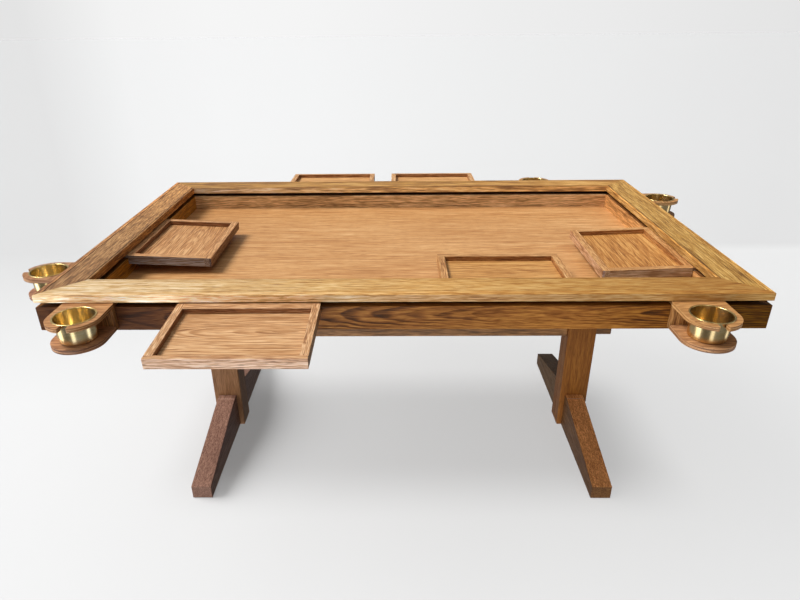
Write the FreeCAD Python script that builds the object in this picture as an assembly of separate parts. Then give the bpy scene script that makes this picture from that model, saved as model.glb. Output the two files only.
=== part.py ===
"""Games table: sunken play floor, slotted rim, trestle base, hooked-on trays and cup holders.

Millimetres. X runs along the table's length, Y from front to back, Z up.
The origin is on the floor under the centre of the table. The front is -Y.
d is the distance inward from the outer edge of the rim.
"""
import FreeCAD, Part
import math
import os

V = FreeCAD.Vector
os.makedirs("parts", exist_ok=True)

# ---------------------------------------------------------------- driving sizes
L, W, H = 1795.0, 1092.0, 761.5        # rim outline and height
RAIL_W, RAIL_T = 97.0, 22.0            # rim rails, laid flat
SLOT_H = 11.5                          # height of the accessory slots
BOX_TOP = H - RAIL_T - SLOT_H          # 728: top of apron and inner wall
APRON_BOT = 664.5
APRON_IN, APRON_T = 0.5, 20.0          # apron is set in 0.5 from the rim's edge
WALL_D0, WALL_D1 = 79.5, 97.5          # inner wall, from the rim's edge
FLOOR_TOP, FLOOR_T, FLOOR_LET_IN = 680.0, 12.0, 8.0
CORE_D0, CORE_D1 = 35.0, 62.5          # ridge between the outer and the inner slot
CORE_PLATE_T = 16.0
LINE_OUT, LINE_IN = 17.0, 7.0          # fine lines in the rails' top, from each edge

POST_X, POST_W, POST_D = 623.0, 95.0, 81.0
FOOT_W, FOOT_FRONT, FOOT_REAR = 61.5, -421.0, 392.0
FOOT_END_H, FOOT_END_H_REAR, FOOT_MID_H, FOOT_FLAT = 45.0, 48.0, 130.0, 66.0
FOOT_BOT = 1.0                         # the glides stand out this much
GLIDE_R, GLIDE_T, GLIDE_Y = 12.0, 5.0, (-400.0, 371.0)
STR_Z0, STR_Z1, STR_T = 360.0, 470.0, 44.0
TEN_T, TEN_Z0, TEN_Z1, TEN_OUT = 28.0, 362.0, 468.0, 60.0
BEARER_W, BEARER_BOT = 90.0, 622.0
BEARER_HALF = 470.0

# cup holders
HOLD_HALF, HOLD_C = 63.0, 71.0         # half width and end radius; cup centre out from the rim's edge
RING_C, BASE_C = 73.0, 71.0            # centres of the round ends of the ring board and the base board
RING_TOP = 739.1
RING_T = RING_TOP - BOX_TOP - 0.3      # the board that also makes the tongue: 10.8
TONGUE_L = 33.0
BASE_BOT, BASE_T, BACK_T = 671.0, 12.0, 14.0
CUP_R, CUP_R_LOW, CUP_LIP_R, CUP_WALL, CUP_BOT = 47.6, 44.2, 50.4, 1.2, 683.3
HOLE_R, NOTCH_W = 48.4, 19.0
# name, side, place of the centre along that side
HOLDERS = [("front_left", "front", -764.0), ("front_right", "front", 716.5),
           ("left_side", "left", -336.0), ("right_side", "right", 353.0),
           ("back", "back", 558.0)]

# trays
TRAY_L, TRAY_DEEP, TRAY_T, TRAY_RECESS = 349.0, 244.0, 26.0, 14.0
OUTER_RIM = (19.0, 14.0, 25.0)         # widths of the side, front and back rims of the outer trays
INNER_RIM = (20.0, 21.0, 15.0)         # the same for the trays over the play floor
TRAY_TONGUE_T = 9.0
TRAY_GAP, JOINT_GAP = 1.8, 0.05
TRAY_TOP = 737.6
# name, side, inside?, place of the centre along that side,
# degrees that the tongue's slack lets the tray hang
TRAYS = [("front", "front", False, -369.0, 2.6), ("back_left", "back", False, -281.0, 1.3),
         ("back_right", "back", False, 142.0, 1.3), ("inner_left", "left", True, -42.0, 2.6),
         ("inner_right", "right", True, -155.0, 2.0), ("inner_front", "front", True, 283.0, 1.3)]


# ---------------------------------------------------------------- helpers
def box(x0, x1, y0, y1, z0, z1):
    return Part.makeBox(x1 - x0, y1 - y0, z1 - z0, V(x0, y0, z0))


def prism(points, direction):
    """A closed polygon of 3-D points, pushed along direction."""
    wire = Part.makePolygon([V(*p) for p in points] + [V(*points[0])])
    return Part.Face(wire).extrude(V(*direction))


def cyl(r, x, y, z0, z1):
    return Part.makeCylinder(r, z1 - z0, V(x, y, z0), V(0, 0, 1))


def turn(shape, deg, centre=(0, 0, 0), axis=(0, 0, 1)):
    out = shape.copy()
    out.rotate(V(*centre), V(*axis), deg)
    return out


def move(shape, x=0.0, y=0.0, z=0.0):
    out = shape.copy()
    out.translate(V(x, y, z))
    return out


def write(name, *solids):
    parts = []
    for s in solids:
        parts += s.Solids
    for s in parts:
        if not s.isValid():
            print("NOT VALID", name)
    shape = parts[0] if len(parts) == 1 else Part.makeCompound(parts)
    shape.exportStep("parts/%s.step" % name)
    print("%-28s solids %2d  volume %10.0f mm3" % (name, len(parts), sum(s.Volume for s in parts)))
    return parts


def mitred(profile, length, width):
    """A board of the given (d, z) profile along the front edge, mitred at both ends."""
    hl, hw = length / 2.0, width / 2.0
    run = prism([(-hl, -hw + d, z) for d, z in profile], (length, 0, 0))
    reach = 200.0
    keep = prism([(-hl, -hw, 0), (hl, -hw, 0), (hl - reach, -hw + reach, 0), (-hl + reach, -hw + reach, 0)],
                 (0, 0, 900))
    return run.common(keep)


def four(profile):
    """The same board on all four sides."""
    long_one, short_one = mitred(profile, L, W), mitred(profile, W, L)
    return {"front": long_one, "back": turn(long_one, 180),
            "left": turn(short_one, -90), "right": turn(short_one, 90)}


def place(shape, side, at, inside=False):
    """From the local frame (rim's edge on X, outward -Y) to a side of the table."""
    if inside:
        shape = turn(shape, 180)
    spin = {"front": 0, "back": 180, "left": -90, "right": 90}[side]
    out = turn(shape, spin)
    if side in ("front", "back"):
        return move(out, at, (-W / 2.0) if side == "front" else (W / 2.0))
    return move(out, (-L / 2.0) if side == "left" else (L / 2.0), at)


# ---------------------------------------------------------------- rim and box
z0, z1 = H - RAIL_T, H
rail_profile = [
    (1.5, z0), (0.0, z0 + 1.5), (0.0, z1 - 2.4), (2.0, z1 - 0.7), (LINE_OUT - 1.0, z1),
    (LINE_OUT, z1 - 1.2), (LINE_OUT + 1.0, z1),
    (RAIL_W - LINE_IN - 0.9, z1), (RAIL_W - LINE_IN, z1 - 1.0), (RAIL_W - LINE_IN + 0.9, z1),
    (RAIL_W - 1.5, z1), (RAIL_W, z1 - 1.5), (RAIL_W, z0 + 1.5), (RAIL_W - 1.5, z0)]
rails = four(rail_profile)

# loose splines in the mitres
splines = []
half_spline, s0, s1 = 14.0, 26.0, 100.0
for sx in (-1, 1):
    for sy in (-1, 1):
        b = box(s0, s1, -half_spline, half_spline, 747.0, 753.0)
        ang = math.degrees(math.atan2(-sy, -sx))
        splines.append(move(turn(b, ang), sx * L / 2.0, sy * W / 2.0))

# screws up through the core into the rails
core_mid = (CORE_D0 + CORE_D1) / 2.0
plate_z = BOX_TOP - CORE_PLATE_T
screw_xy = []
for x in (-750, -500, -250, 0, 250, 500, 750):
    screw_xy += [(x, -W / 2.0 + core_mid), (x, W / 2.0 - core_mid)]
for y in (-390, -130, 130, 390):
    screw_xy += [(-L / 2.0 + core_mid, y), (L / 2.0 - core_mid, y)]
screws = [cyl(4.5, x, y, plate_z, plate_z + 4.0).fuse(cyl(2.4, x, y, plate_z + 4.0, H - 6.0)) for x, y in screw_xy]
screw_holes = [cyl(4.7, x, y, plate_z - 1.0, plate_z + 4.0).fuse(cyl(2.5, x, y, plate_z + 4.0, H - 5.5))
               for x, y in screw_xy]

cutters = Part.makeCompound(splines + screw_holes)
for side in rails:
    rails[side] = rails[side].cut(cutters)
    write("rail_%s" % side, rails[side])
write("rail_splines", *splines)
write("rail_screws", *screws)

apron_d1 = APRON_IN + APRON_T
g = apron_d1 - FLOOR_LET_IN
apron_profile = [
    (APRON_IN + 1.0, APRON_BOT), (APRON_IN, APRON_BOT + 1.0), (APRON_IN, BOX_TOP - 1.0), (APRON_IN + 1.0, BOX_TOP),
    (apron_d1, BOX_TOP), (apron_d1, FLOOR_TOP), (g, FLOOR_TOP), (g, FLOOR_TOP - FLOOR_T),
    (apron_d1, FLOOR_TOP - FLOOR_T), (apron_d1, APRON_BOT)]
for side, s in four(apron_profile).items():
    write("apron_%s" % side, s)

wall_profile = [
    (WALL_D0, FLOOR_TOP), (WALL_D1, FLOOR_TOP), (WALL_D1, BOX_TOP - 1.2), (WALL_D1 - 1.2, BOX_TOP), (WALL_D0, BOX_TOP)]
walls = four(wall_profile)

core_plate = [(apron_d1, plate_z), (WALL_D0, plate_z), (WALL_D0, BOX_TOP), (apron_d1, BOX_TOP)]
core_ridge = [(CORE_D0, BOX_TOP), (CORE_D1, BOX_TOP), (CORE_D1, H - RAIL_T), (CORE_D0, H - RAIL_T)]
through_core = Part.makeCompound(screw_holes)
write("core_plates", *[s.cut(through_core) for s in four(core_plate).values()])
write("core_ridges", *[s.cut(through_core) for s in four(core_ridge).values()])

# ---------------------------------------------------------------- play floor, bearers and what holds them
fl_x, fl_y = L / 2.0 - g, W / 2.0 - g
floor = box(-fl_x, fl_x, -fl_y, fl_y, FLOOR_TOP - FLOOR_T, FLOOR_TOP)
under = FLOOR_TOP - FLOOR_T

wall_mid = (WALL_D0 + WALL_D1) / 2.0
lag_y = W / 2.0 - wall_mid
lag_spots = [(sx * POST_X + dx, sy * lag_y) for sx in (-1, 1) for dx in (-26.0, 26.0) for sy in (-1, 1)]
pan_spots = [(sx * POST_X, y) for sx in (-1, 1) for y in (-240.0, -120.0, 120.0, 240.0)]
end_bot = 648.0
fasteners, fastener_holes = [], []
for x, y in lag_spots:
    hexa = [(x + 7.5 * math.cos(math.radians(60 * k)), y + 7.5 * math.sin(math.radians(60 * k)), end_bot - 5.5)
            for k in range(6)]
    head = prism(hexa, (0, 0, 5.5))
    fasteners.append(head.fuse(cyl(3.0, x, y, end_bot, BOX_TOP - 12.0)))
    fastener_holes.append(cyl(3.1, x, y, end_bot - 1.0, BOX_TOP - 11.5))
for x, y in pan_spots:
    fasteners.append(cyl(4.5, x, y, 640.0, 644.0).fuse(cyl(2.4, x, y, 644.0, FLOOR_TOP - 3.0)))
    fastener_holes.append(cyl(5.0, x, y, BEARER_BOT - 1.0, 644.0).fuse(cyl(2.5, x, y, 644.0, FLOOR_TOP - 2.5)))
holes = Part.makeCompound(fastener_holes)
write("bearer_screws", *fasteners)
write("play_floor", floor.cut(holes))
for side, s in walls.items():
    write("wall_%s" % side, s.cut(holes))

STUB_X, STUB_Y, STUB_TOP = 30.0, 23.0, 655.0      # post's stub tenon in the bearer (half sizes)
bolts = []
for name, sx in (("left", -1), ("right", 1)):
    cx = sx * POST_X
    x0, x1 = cx - BEARER_W / 2.0, cx + BEARER_W / 2.0
    outline = [(x0, -BEARER_HALF, under), (x0, BEARER_HALF, under), (x0, BEARER_HALF, end_bot), (x0, 430, end_bot),
               (x0, 330, BEARER_BOT), (x0, -330, BEARER_BOT), (x0, -430, end_bot), (x0, -BEARER_HALF, end_bot)]
    bearer = prism(outline, (BEARER_W, 0, 0))
    bearer = bearer.cut(box(cx - STUB_X, cx + STUB_X, -STUB_Y, STUB_Y, BEARER_BOT - 1, STUB_TOP))
    bearer = bearer.cut(cyl(10.5, cx, 0, 660.0, under + 1)).cut(cyl(5.1, cx, 0, STUB_TOP - 1, 661.0)).cut(holes)
    write("bearer_%s" % name, bearer)

    # post: chamfered section, bridle slot over the foot, through mortise, stub on top
    hw, hd, c = POST_W / 2.0, POST_D / 2.0, 2.5
    sec = [(cx - hw + c, -hd), (cx + hw - c, -hd), (cx + hw, -hd + c), (cx + hw, hd - c),
           (cx + hw - c, hd), (cx - hw + c, hd), (cx - hw, hd - c), (cx - hw, -hd + c)]
    post = prism([(x, y, FOOT_BOT + 0.5) for x, y in sec], (0, 0, BEARER_BOT - FOOT_BOT - 0.5))
    post = post.fuse(box(cx - STUB_X, cx + STUB_X, -STUB_Y, STUB_Y, BEARER_BOT - 5, STUB_TOP)).removeSplitter()
    post = post.cut(box(cx - FOOT_W / 2.0, cx + FOOT_W / 2.0, -hd - 1, hd + 1, 0, FOOT_MID_H))
    post = post.cut(box(cx - hw - 1, cx + hw + 1, -TEN_T / 2.0, TEN_T / 2.0, TEN_Z0, TEN_Z1))
    post = post.cut(cyl(5.1, cx, 0, 540.0, STUB_TOP + 1)).cut(cyl(5.1, cx, 0, FOOT_MID_H - 1, 250.5))
    write("post_%s" % name, post)
    bolts.append(cyl(10.0, cx, 0, 660.0, 667.5).fuse(cyl(5.0, cx, 0, 541.0, 660.0)))

    ff = FOOT_FLAT
    xa = cx - FOOT_W / 2.0
    foot = prism([(xa, FOOT_FRONT, FOOT_BOT), (xa, FOOT_FRONT, FOOT_END_H), (xa, -ff, FOOT_MID_H), (xa, ff, FOOT_MID_H),
                  (xa, FOOT_REAR, FOOT_END_H_REAR), (xa, FOOT_REAR, FOOT_BOT)], (FOOT_W, 0, 0))
    foot = foot.cut(cyl(12.0, cx, 0, 0, 14.0)).cut(cyl(5.1, cx, 0, 13.0, FOOT_MID_H + 1))
    for dx in (-15.0, 15.0):
        for y in GLIDE_Y:
            foot = foot.cut(cyl(GLIDE_R, cx + dx, y, 0, GLIDE_T))
    write("foot_%s" % name, foot)
    hexa = [(cx + 9.5 * math.cos(math.radians(60 * k)), 9.5 * math.sin(math.radians(60 * k)), 7.5) for k in range(6)]
    bolts.append(prism(hexa, (0, 0, 6.5)).fuse(cyl(5.0, cx, 0, 14.0, 250.0)))
write("leg_bolts", *bolts)
glides = []
for sx in (-1, 1):
    for dx in (-15.0, 15.0):
        for y in GLIDE_Y:
            glides.append(cyl(GLIDE_R, sx * POST_X + dx, y, 0, GLIDE_T))
write("foot_glides", *glides)

# ---------------------------------------------------------------- stretcher and its wedges
inner_face, outer_face = POST_X - POST_W / 2.0, POST_X + POST_W / 2.0
tip = outer_face + TEN_OUT
stretcher = box(-inner_face, inner_face, -STR_T / 2.0, STR_T / 2.0, STR_Z0, STR_Z1)
c = 3.0
tenon_plan = [(-tip, -TEN_T / 2 + c), (-tip + c, -TEN_T / 2), (tip - c, -TEN_T / 2), (tip, -TEN_T / 2 + c),
              (tip, TEN_T / 2 - c), (tip - c, TEN_T / 2), (-tip + c, TEN_T / 2), (-tip, TEN_T / 2 - c)]
stretcher = stretcher.fuse(prism([(x, y, TEN_Z0) for x, y in tenon_plan], (0, 0, TEN_Z1 - TEN_Z0))).removeSplitter()
WZ0, WZ1, WY = 404.0, 426.0, 46.0
wedges = []
for sx in (-1, 1):
    f = outer_face
    wide, thin = 22.0, 14.0
    plan = [(sx * f, -WY), (sx * (f + wide), -WY), (sx * (f + thin), WY), (sx * f, WY)]
    wedge = prism([(x, y, WZ0) for x, y in plan], (0, 0, WZ1 - WZ0))
    wedges.append(wedge)
    room = prism([(sx * (f - 3.0), -30, WZ0), (sx * f, -30, WZ0), (sx * f, 30, WZ0), (sx * (f - 3.0), 30, WZ0)],
                 (0, 0, WZ1 - WZ0))
    stretcher = stretcher.cut(wedge).cut(room)
write("stretcher", stretcher)
write("stretcher_wedges", *wedges)


# ---------------------------------------------------------------- cup holders
def d_plate(back_w, z_low, z_high, centre, r=HOLD_HALF):
    """A board with a straight back at back_w and a round end, in the local frame."""
    a, b = V(-r, -back_w, z_low), V(r, -back_w, z_low)
    p, q = V(r, -centre, z_low), V(-r, -centre, z_low)
    arc = Part.Arc(p, V(0, -centre - r, z_low), q).toShape()
    wire = Part.Wire([Part.makeLine(a, b), Part.makeLine(b, p), arc, Part.makeLine(q, a)])
    return Part.Face(wire).extrude(V(0, 0, z_high - z_low))


def soften(shape, want, radius):
    edges = [e for e in shape.Edges if want(e)]
    return shape.makeFillet(radius, edges) if edges else shape


ring_bot = RING_TOP - RING_T
ring = d_plate(0.0, ring_bot, RING_TOP, RING_C)
ring = ring.fuse(box(-61.0, 61.0, -1.0, TONGUE_L, ring_bot, RING_TOP)).removeSplitter()
ring = ring.cut(cyl(HOLE_R, 0, -HOLD_C, ring_bot - 1, RING_TOP + 1))
ring = ring.cut(box(-NOTCH_W / 2, NOTCH_W / 2, -RING_C - HOLD_HALF - 5, -HOLD_C - 30, ring_bot - 1, RING_TOP + 1))


def at_notch(e):
    b = e.BoundBox
    return b.ZLength > 10 and b.XLength < 0.01 and b.YLength < 0.01 and abs(abs(b.Center.x) - NOTCH_W / 2) < 0.1 \
        and b.Center.y < -HOLD_C - 30


ring = soften(ring, at_notch, 3.0)
back_board = box(-HOLD_HALF, HOLD_HALF, -BACK_T, 0, BASE_BOT, ring_bot)
base = d_plate(BACK_T, BASE_BOT, BASE_BOT + BASE_T, BASE_C)

# cup: turned section (radius, height), closed on the axis, a little narrower at the bottom
r0, ri, zb, zl = CUP_R, CUP_R - CUP_WALL, CUP_BOT, RING_TOP + 0.3
rb, rbi = CUP_R_LOW, CUP_R_LOW - CUP_WALL


def arc3(p, m, q):
    return Part.Arc(V(p[0], 0, p[1]), V(m[0], 0, m[1]), V(q[0], 0, q[1])).toShape()


def line2(p, q):
    return Part.makeLine(V(p[0], 0, p[1]), V(q[0], 0, q[1]))


k = math.sqrt(0.5)
lip_t = 1.6
h = lip_t / 2.0
edge_r = CUP_LIP_R - h
in_r = 1.2                             # rounding of the lip's inner edge
pts = [
    line2((0, zb), (rb - 3, zb)), arc3((rb - 3, zb), (rb - 3 + 3 * k, zb + 3 - 3 * k), (rb, zb + 3)),
    line2((rb, zb + 3), (r0, zl)), line2((r0, zl), (edge_r, zl)),
    arc3((edge_r, zl), (edge_r + h, zl + h), (edge_r, zl + lip_t)),
    line2((edge_r, zl + lip_t), (ri + in_r, zl + lip_t)),
    arc3((ri + in_r, zl + lip_t), (ri + in_r - in_r * k, zl + lip_t - in_r + in_r * k), (ri, zl + lip_t - in_r)),
    line2((ri, zl + lip_t - in_r), (rbi, zb + CUP_WALL + 4)),
    arc3((rbi, zb + CUP_WALL + 4), (rbi - 4 + 4 * k, zb + CUP_WALL + 4 - 4 * k), (rbi - 4, zb + CUP_WALL)),
    line2((rbi - 4, zb + CUP_WALL), (0, zb + CUP_WALL)), line2((0, zb + CUP_WALL), (0, zb))]
cup = Part.Face(Part.Wire(pts)).revolve(V(0, 0, 0), V(0, 0, 1), 360)
if not cup.Solids:
    cup = Part.Solid(Part.Shell(cup.Faces))
cup = move(cup, 0, -HOLD_C)

for name, side, at in HOLDERS:
    write("holder_%s_ring" % name, place(ring, side, at))
    write("holder_%s_back" % name, place(back_board, side, at))
    write("holder_%s_base" % name, place(base, side, at))
    write("cup_%s" % name, place(cup, side, at))

# ---------------------------------------------------------------- trays
hs, t0, t1, j = TRAY_L / 2.0, TRAY_GAP, TRAY_GAP + TRAY_DEEP, JOINT_GAP


def tbox(sa, sb, ta, tc, za, zc):
    return box(sa, sb, -tc, -ta, za, zc)


def hang(shape, inside, sag):
    """Tip the tray by its sag about the mouth of the slot, then set its height and the slot's mouth."""
    out = turn(shape, sag, (0, -t0, 0), (1, 0, 0))
    mouth = -WALL_D1 if inside else -APRON_IN
    return move(out, 0, -mouth if not inside else mouth, TRAY_TOP)


for name, side, inside, at, sag in TRAYS:
    side_rim, front_rim, back_rim = INNER_RIM if inside else OUTER_RIM
    hp, tf, tb = hs - side_rim, t1 - front_rim, t0 + back_rim
    back_rail = tbox(-hp + j, hp - j, t0, tb, -TRAY_T, 0).fuse(
        tbox(-hs + 2, hs - 2, -TONGUE_L, t0, -TRAY_TONGUE_T, 0)).removeSplitter()
    front_rail = tbox(-hs, hs, tf + j, t1, -TRAY_T, 0)
    left_rail = tbox(-hs, -hp, t0 + j, tf, -TRAY_T, 0)
    right_rail = tbox(hp, hs, t0 + j, tf, -TRAY_T, 0)
    panel = tbox(-hp + j, hp - j, tb + j, tf, -TRAY_T, -TRAY_RECESS)
    solids = [place(hang(s, inside, sag), side, at, inside) for s in (back_rail, front_rail, left_rail, right_rail)]
    write("tray_%s_rim" % name, *solids)
    write("tray_%s_panel" % name, place(hang(panel, inside, sag), side, at, inside))
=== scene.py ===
"""Looks for the games table: procedural oiled wood, brushed brass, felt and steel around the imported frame.

Metres. X runs along the table, Y from front to back, Z up; the front is -Y.
"""
import bpy
import math
from mathutils import Matrix, Vector

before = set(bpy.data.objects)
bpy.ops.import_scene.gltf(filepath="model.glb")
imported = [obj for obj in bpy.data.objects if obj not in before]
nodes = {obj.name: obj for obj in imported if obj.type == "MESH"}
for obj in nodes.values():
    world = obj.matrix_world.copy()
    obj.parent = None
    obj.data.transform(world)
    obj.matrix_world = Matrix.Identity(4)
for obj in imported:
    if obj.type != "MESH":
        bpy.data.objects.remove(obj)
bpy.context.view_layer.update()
scene = bpy.context.scene

# ---------------------------------------------------------------- sizes the finishes need
HALF_L, HALF_W, TOP = 0.8975, 0.546, 0.7615
RAIL_W, RAIL_T, LINE_OUT, LINE_IN = 0.097, 0.022, 0.017, 0.007
WALL_IN = 0.0975
HOLDERS = {"front_left": ("front", -0.764), "front_right": ("front", 0.7165), "left_side": ("left", -0.336),
           "right_side": ("right", 0.353), "back": ("back", 0.558)}
TRAYS = {"front": ("front", False, -0.369), "back_left": ("back", False, -0.281), "back_right": ("back", False, 0.142),
         "inner_left": ("left", True, -0.042), "inner_right": ("right", True, -0.155),
         "inner_front": ("front", True, 0.283)}
TRAY_HALF = 0.1745
OUTER_RIM, INNER_RIM = (0.019, 0.014, 0.025), (0.020, 0.021, 0.015)
X, Y, Z = 0, 1, 2


def rgb(text):
    """Linear colour from an #rrggbb display colour."""
    out = []
    for i in (1, 3, 5):
        c = int(text[i:i + 2], 16) / 255.0
        out.append(c / 12.92 if c <= 0.04045 else ((c + 0.055) / 1.055) ** 2.4)
    return (*out, 1.0)


def tint(r, g, b):
    return (r, g, b, 1.0)


# ---------------------------------------------------------------- small shader builder
class Shader:
    """Adds nodes to one material; every helper returns the output socket it makes."""

    def __init__(self, name):
        self.mat = bpy.data.materials.new(name)
        self.mat.use_nodes = True
        self.tree = self.mat.node_tree
        self.tree.nodes.clear()
        self.out = self.add("ShaderNodeOutputMaterial")
        self.bsdf = self.add("ShaderNodeBsdfPrincipled")
        self.tree.links.new(self.bsdf.outputs[0], self.out.inputs[0])
        coords = self.add("ShaderNodeTexCoord").outputs["Object"]
        sep = self.add("ShaderNodeSeparateXYZ")
        self.tree.links.new(coords, sep.inputs[0])
        self.xyz = [sep.outputs[0], sep.outputs[1], sep.outputs[2]]
        self._normal = None

    def add(self, kind, **props):
        n = self.tree.nodes.new(kind)
        for k, v in props.items():
            setattr(n, k, v)
        return n

    def normal(self):
        """The surface's own direction, as three sockets."""
        if self._normal is None:
            sep = self.add("ShaderNodeSeparateXYZ")
            self.tree.links.new(self.add("ShaderNodeNewGeometry").outputs["Normal"], sep.inputs[0])
            self._normal = [sep.outputs[0], sep.outputs[1], sep.outputs[2]]
        return self._normal

    def put(self, socket, value):
        if isinstance(value, bpy.types.NodeSocket):
            self.tree.links.new(value, socket)
        else:
            socket.default_value = value

    def math(self, op, a, b=None, c=None, clamp=False):
        n = self.add("ShaderNodeMath", operation=op, use_clamp=clamp)
        for i, v in enumerate((a, b, c)):
            if v is not None:
                self.put(n.inputs[i], v)
        return n.outputs[0]

    def vec(self, x, y, z):
        n = self.add("ShaderNodeCombineXYZ")
        for i, v in enumerate((x, y, z)):
            self.put(n.inputs[i], v)
        return n.outputs[0]

    def scaled(self, u, v, w, su, sv, sw, shift=0.0):
        n = self.add("ShaderNodeVectorMath", operation="MULTIPLY_ADD")
        self.put(n.inputs[0], self.vec(u, v, w))
        n.inputs[1].default_value = (su, sv, sw)
        n.inputs[2].default_value = (shift * 3.17, shift * 7.31, shift * 1.93)
        return n.outputs[0]

    def noise(self, vector, detail=2.0, rough=0.55, distort=0.0):
        n = self.add("ShaderNodeTexNoise")
        self.put(n.inputs["Vector"], vector)
        n.inputs["Scale"].default_value = 1.0
        n.inputs["Detail"].default_value = detail
        n.inputs["Roughness"].default_value = rough
        n.inputs["Distortion"].default_value = distort
        return n.outputs[0]

    def wobble(self, vector, size, **k):
        """Noise centred on zero, about +-size."""
        return self.math("MULTIPLY", self.math("SUBTRACT", self.noise(vector, **k), 0.5), 2.0 * size)

    def span(self, value, a, b, lo=0.0, hi=1.0, smooth=True):
        n = self.add("ShaderNodeMapRange", interpolation_type="SMOOTHSTEP" if smooth else "LINEAR")
        self.put(n.inputs[0], value)
        for i, v in ((1, a), (2, b), (3, lo), (4, hi)):
            n.inputs[i].default_value = v
        return n.outputs[0]

    def band(self, value, at, half, soft):
        """1 within half of at, falling to 0 over soft."""
        return self.span(self.math("ABSOLUTE", self.math("SUBTRACT", value, at)), half, half + soft, 1.0, 0.0)

    def ramp(self, value, stops):
        n = self.add("ShaderNodeValToRGB")
        self.put(n.inputs[0], value)
        e = n.color_ramp.elements
        while len(e) < len(stops):
            e.new(0.5)
        for el, (pos, col) in zip(e, stops):
            el.position, el.color = pos, col
        return n.outputs[0]

    def mix(self, fac, a, b, kind="MIX"):
        n = self.add("ShaderNodeMix", data_type="RGBA", blend_type=kind)
        self.put(n.inputs[0], fac)
        self.put(n.inputs[6], a)
        self.put(n.inputs[7], b)
        return n.outputs[2]

    def mixf(self, fac, a, b):
        n = self.add("ShaderNodeMix", data_type="FLOAT")
        self.put(n.inputs[0], fac)
        self.put(n.inputs[2], a)
        self.put(n.inputs[3], b)
        return n.outputs[0]

    def along(self, colour, coord, stops):
        """Multiplies colour by a tint that changes along a coordinate; stops are (metres, tint)."""
        lo, hi = stops[0][0], stops[-1][0]
        t = self.span(coord, lo, hi, smooth=False)
        return self.mix(1.0, colour, self.ramp(t, [((p - lo) / (hi - lo), c) for p, c in stops]), "MULTIPLY")


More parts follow.
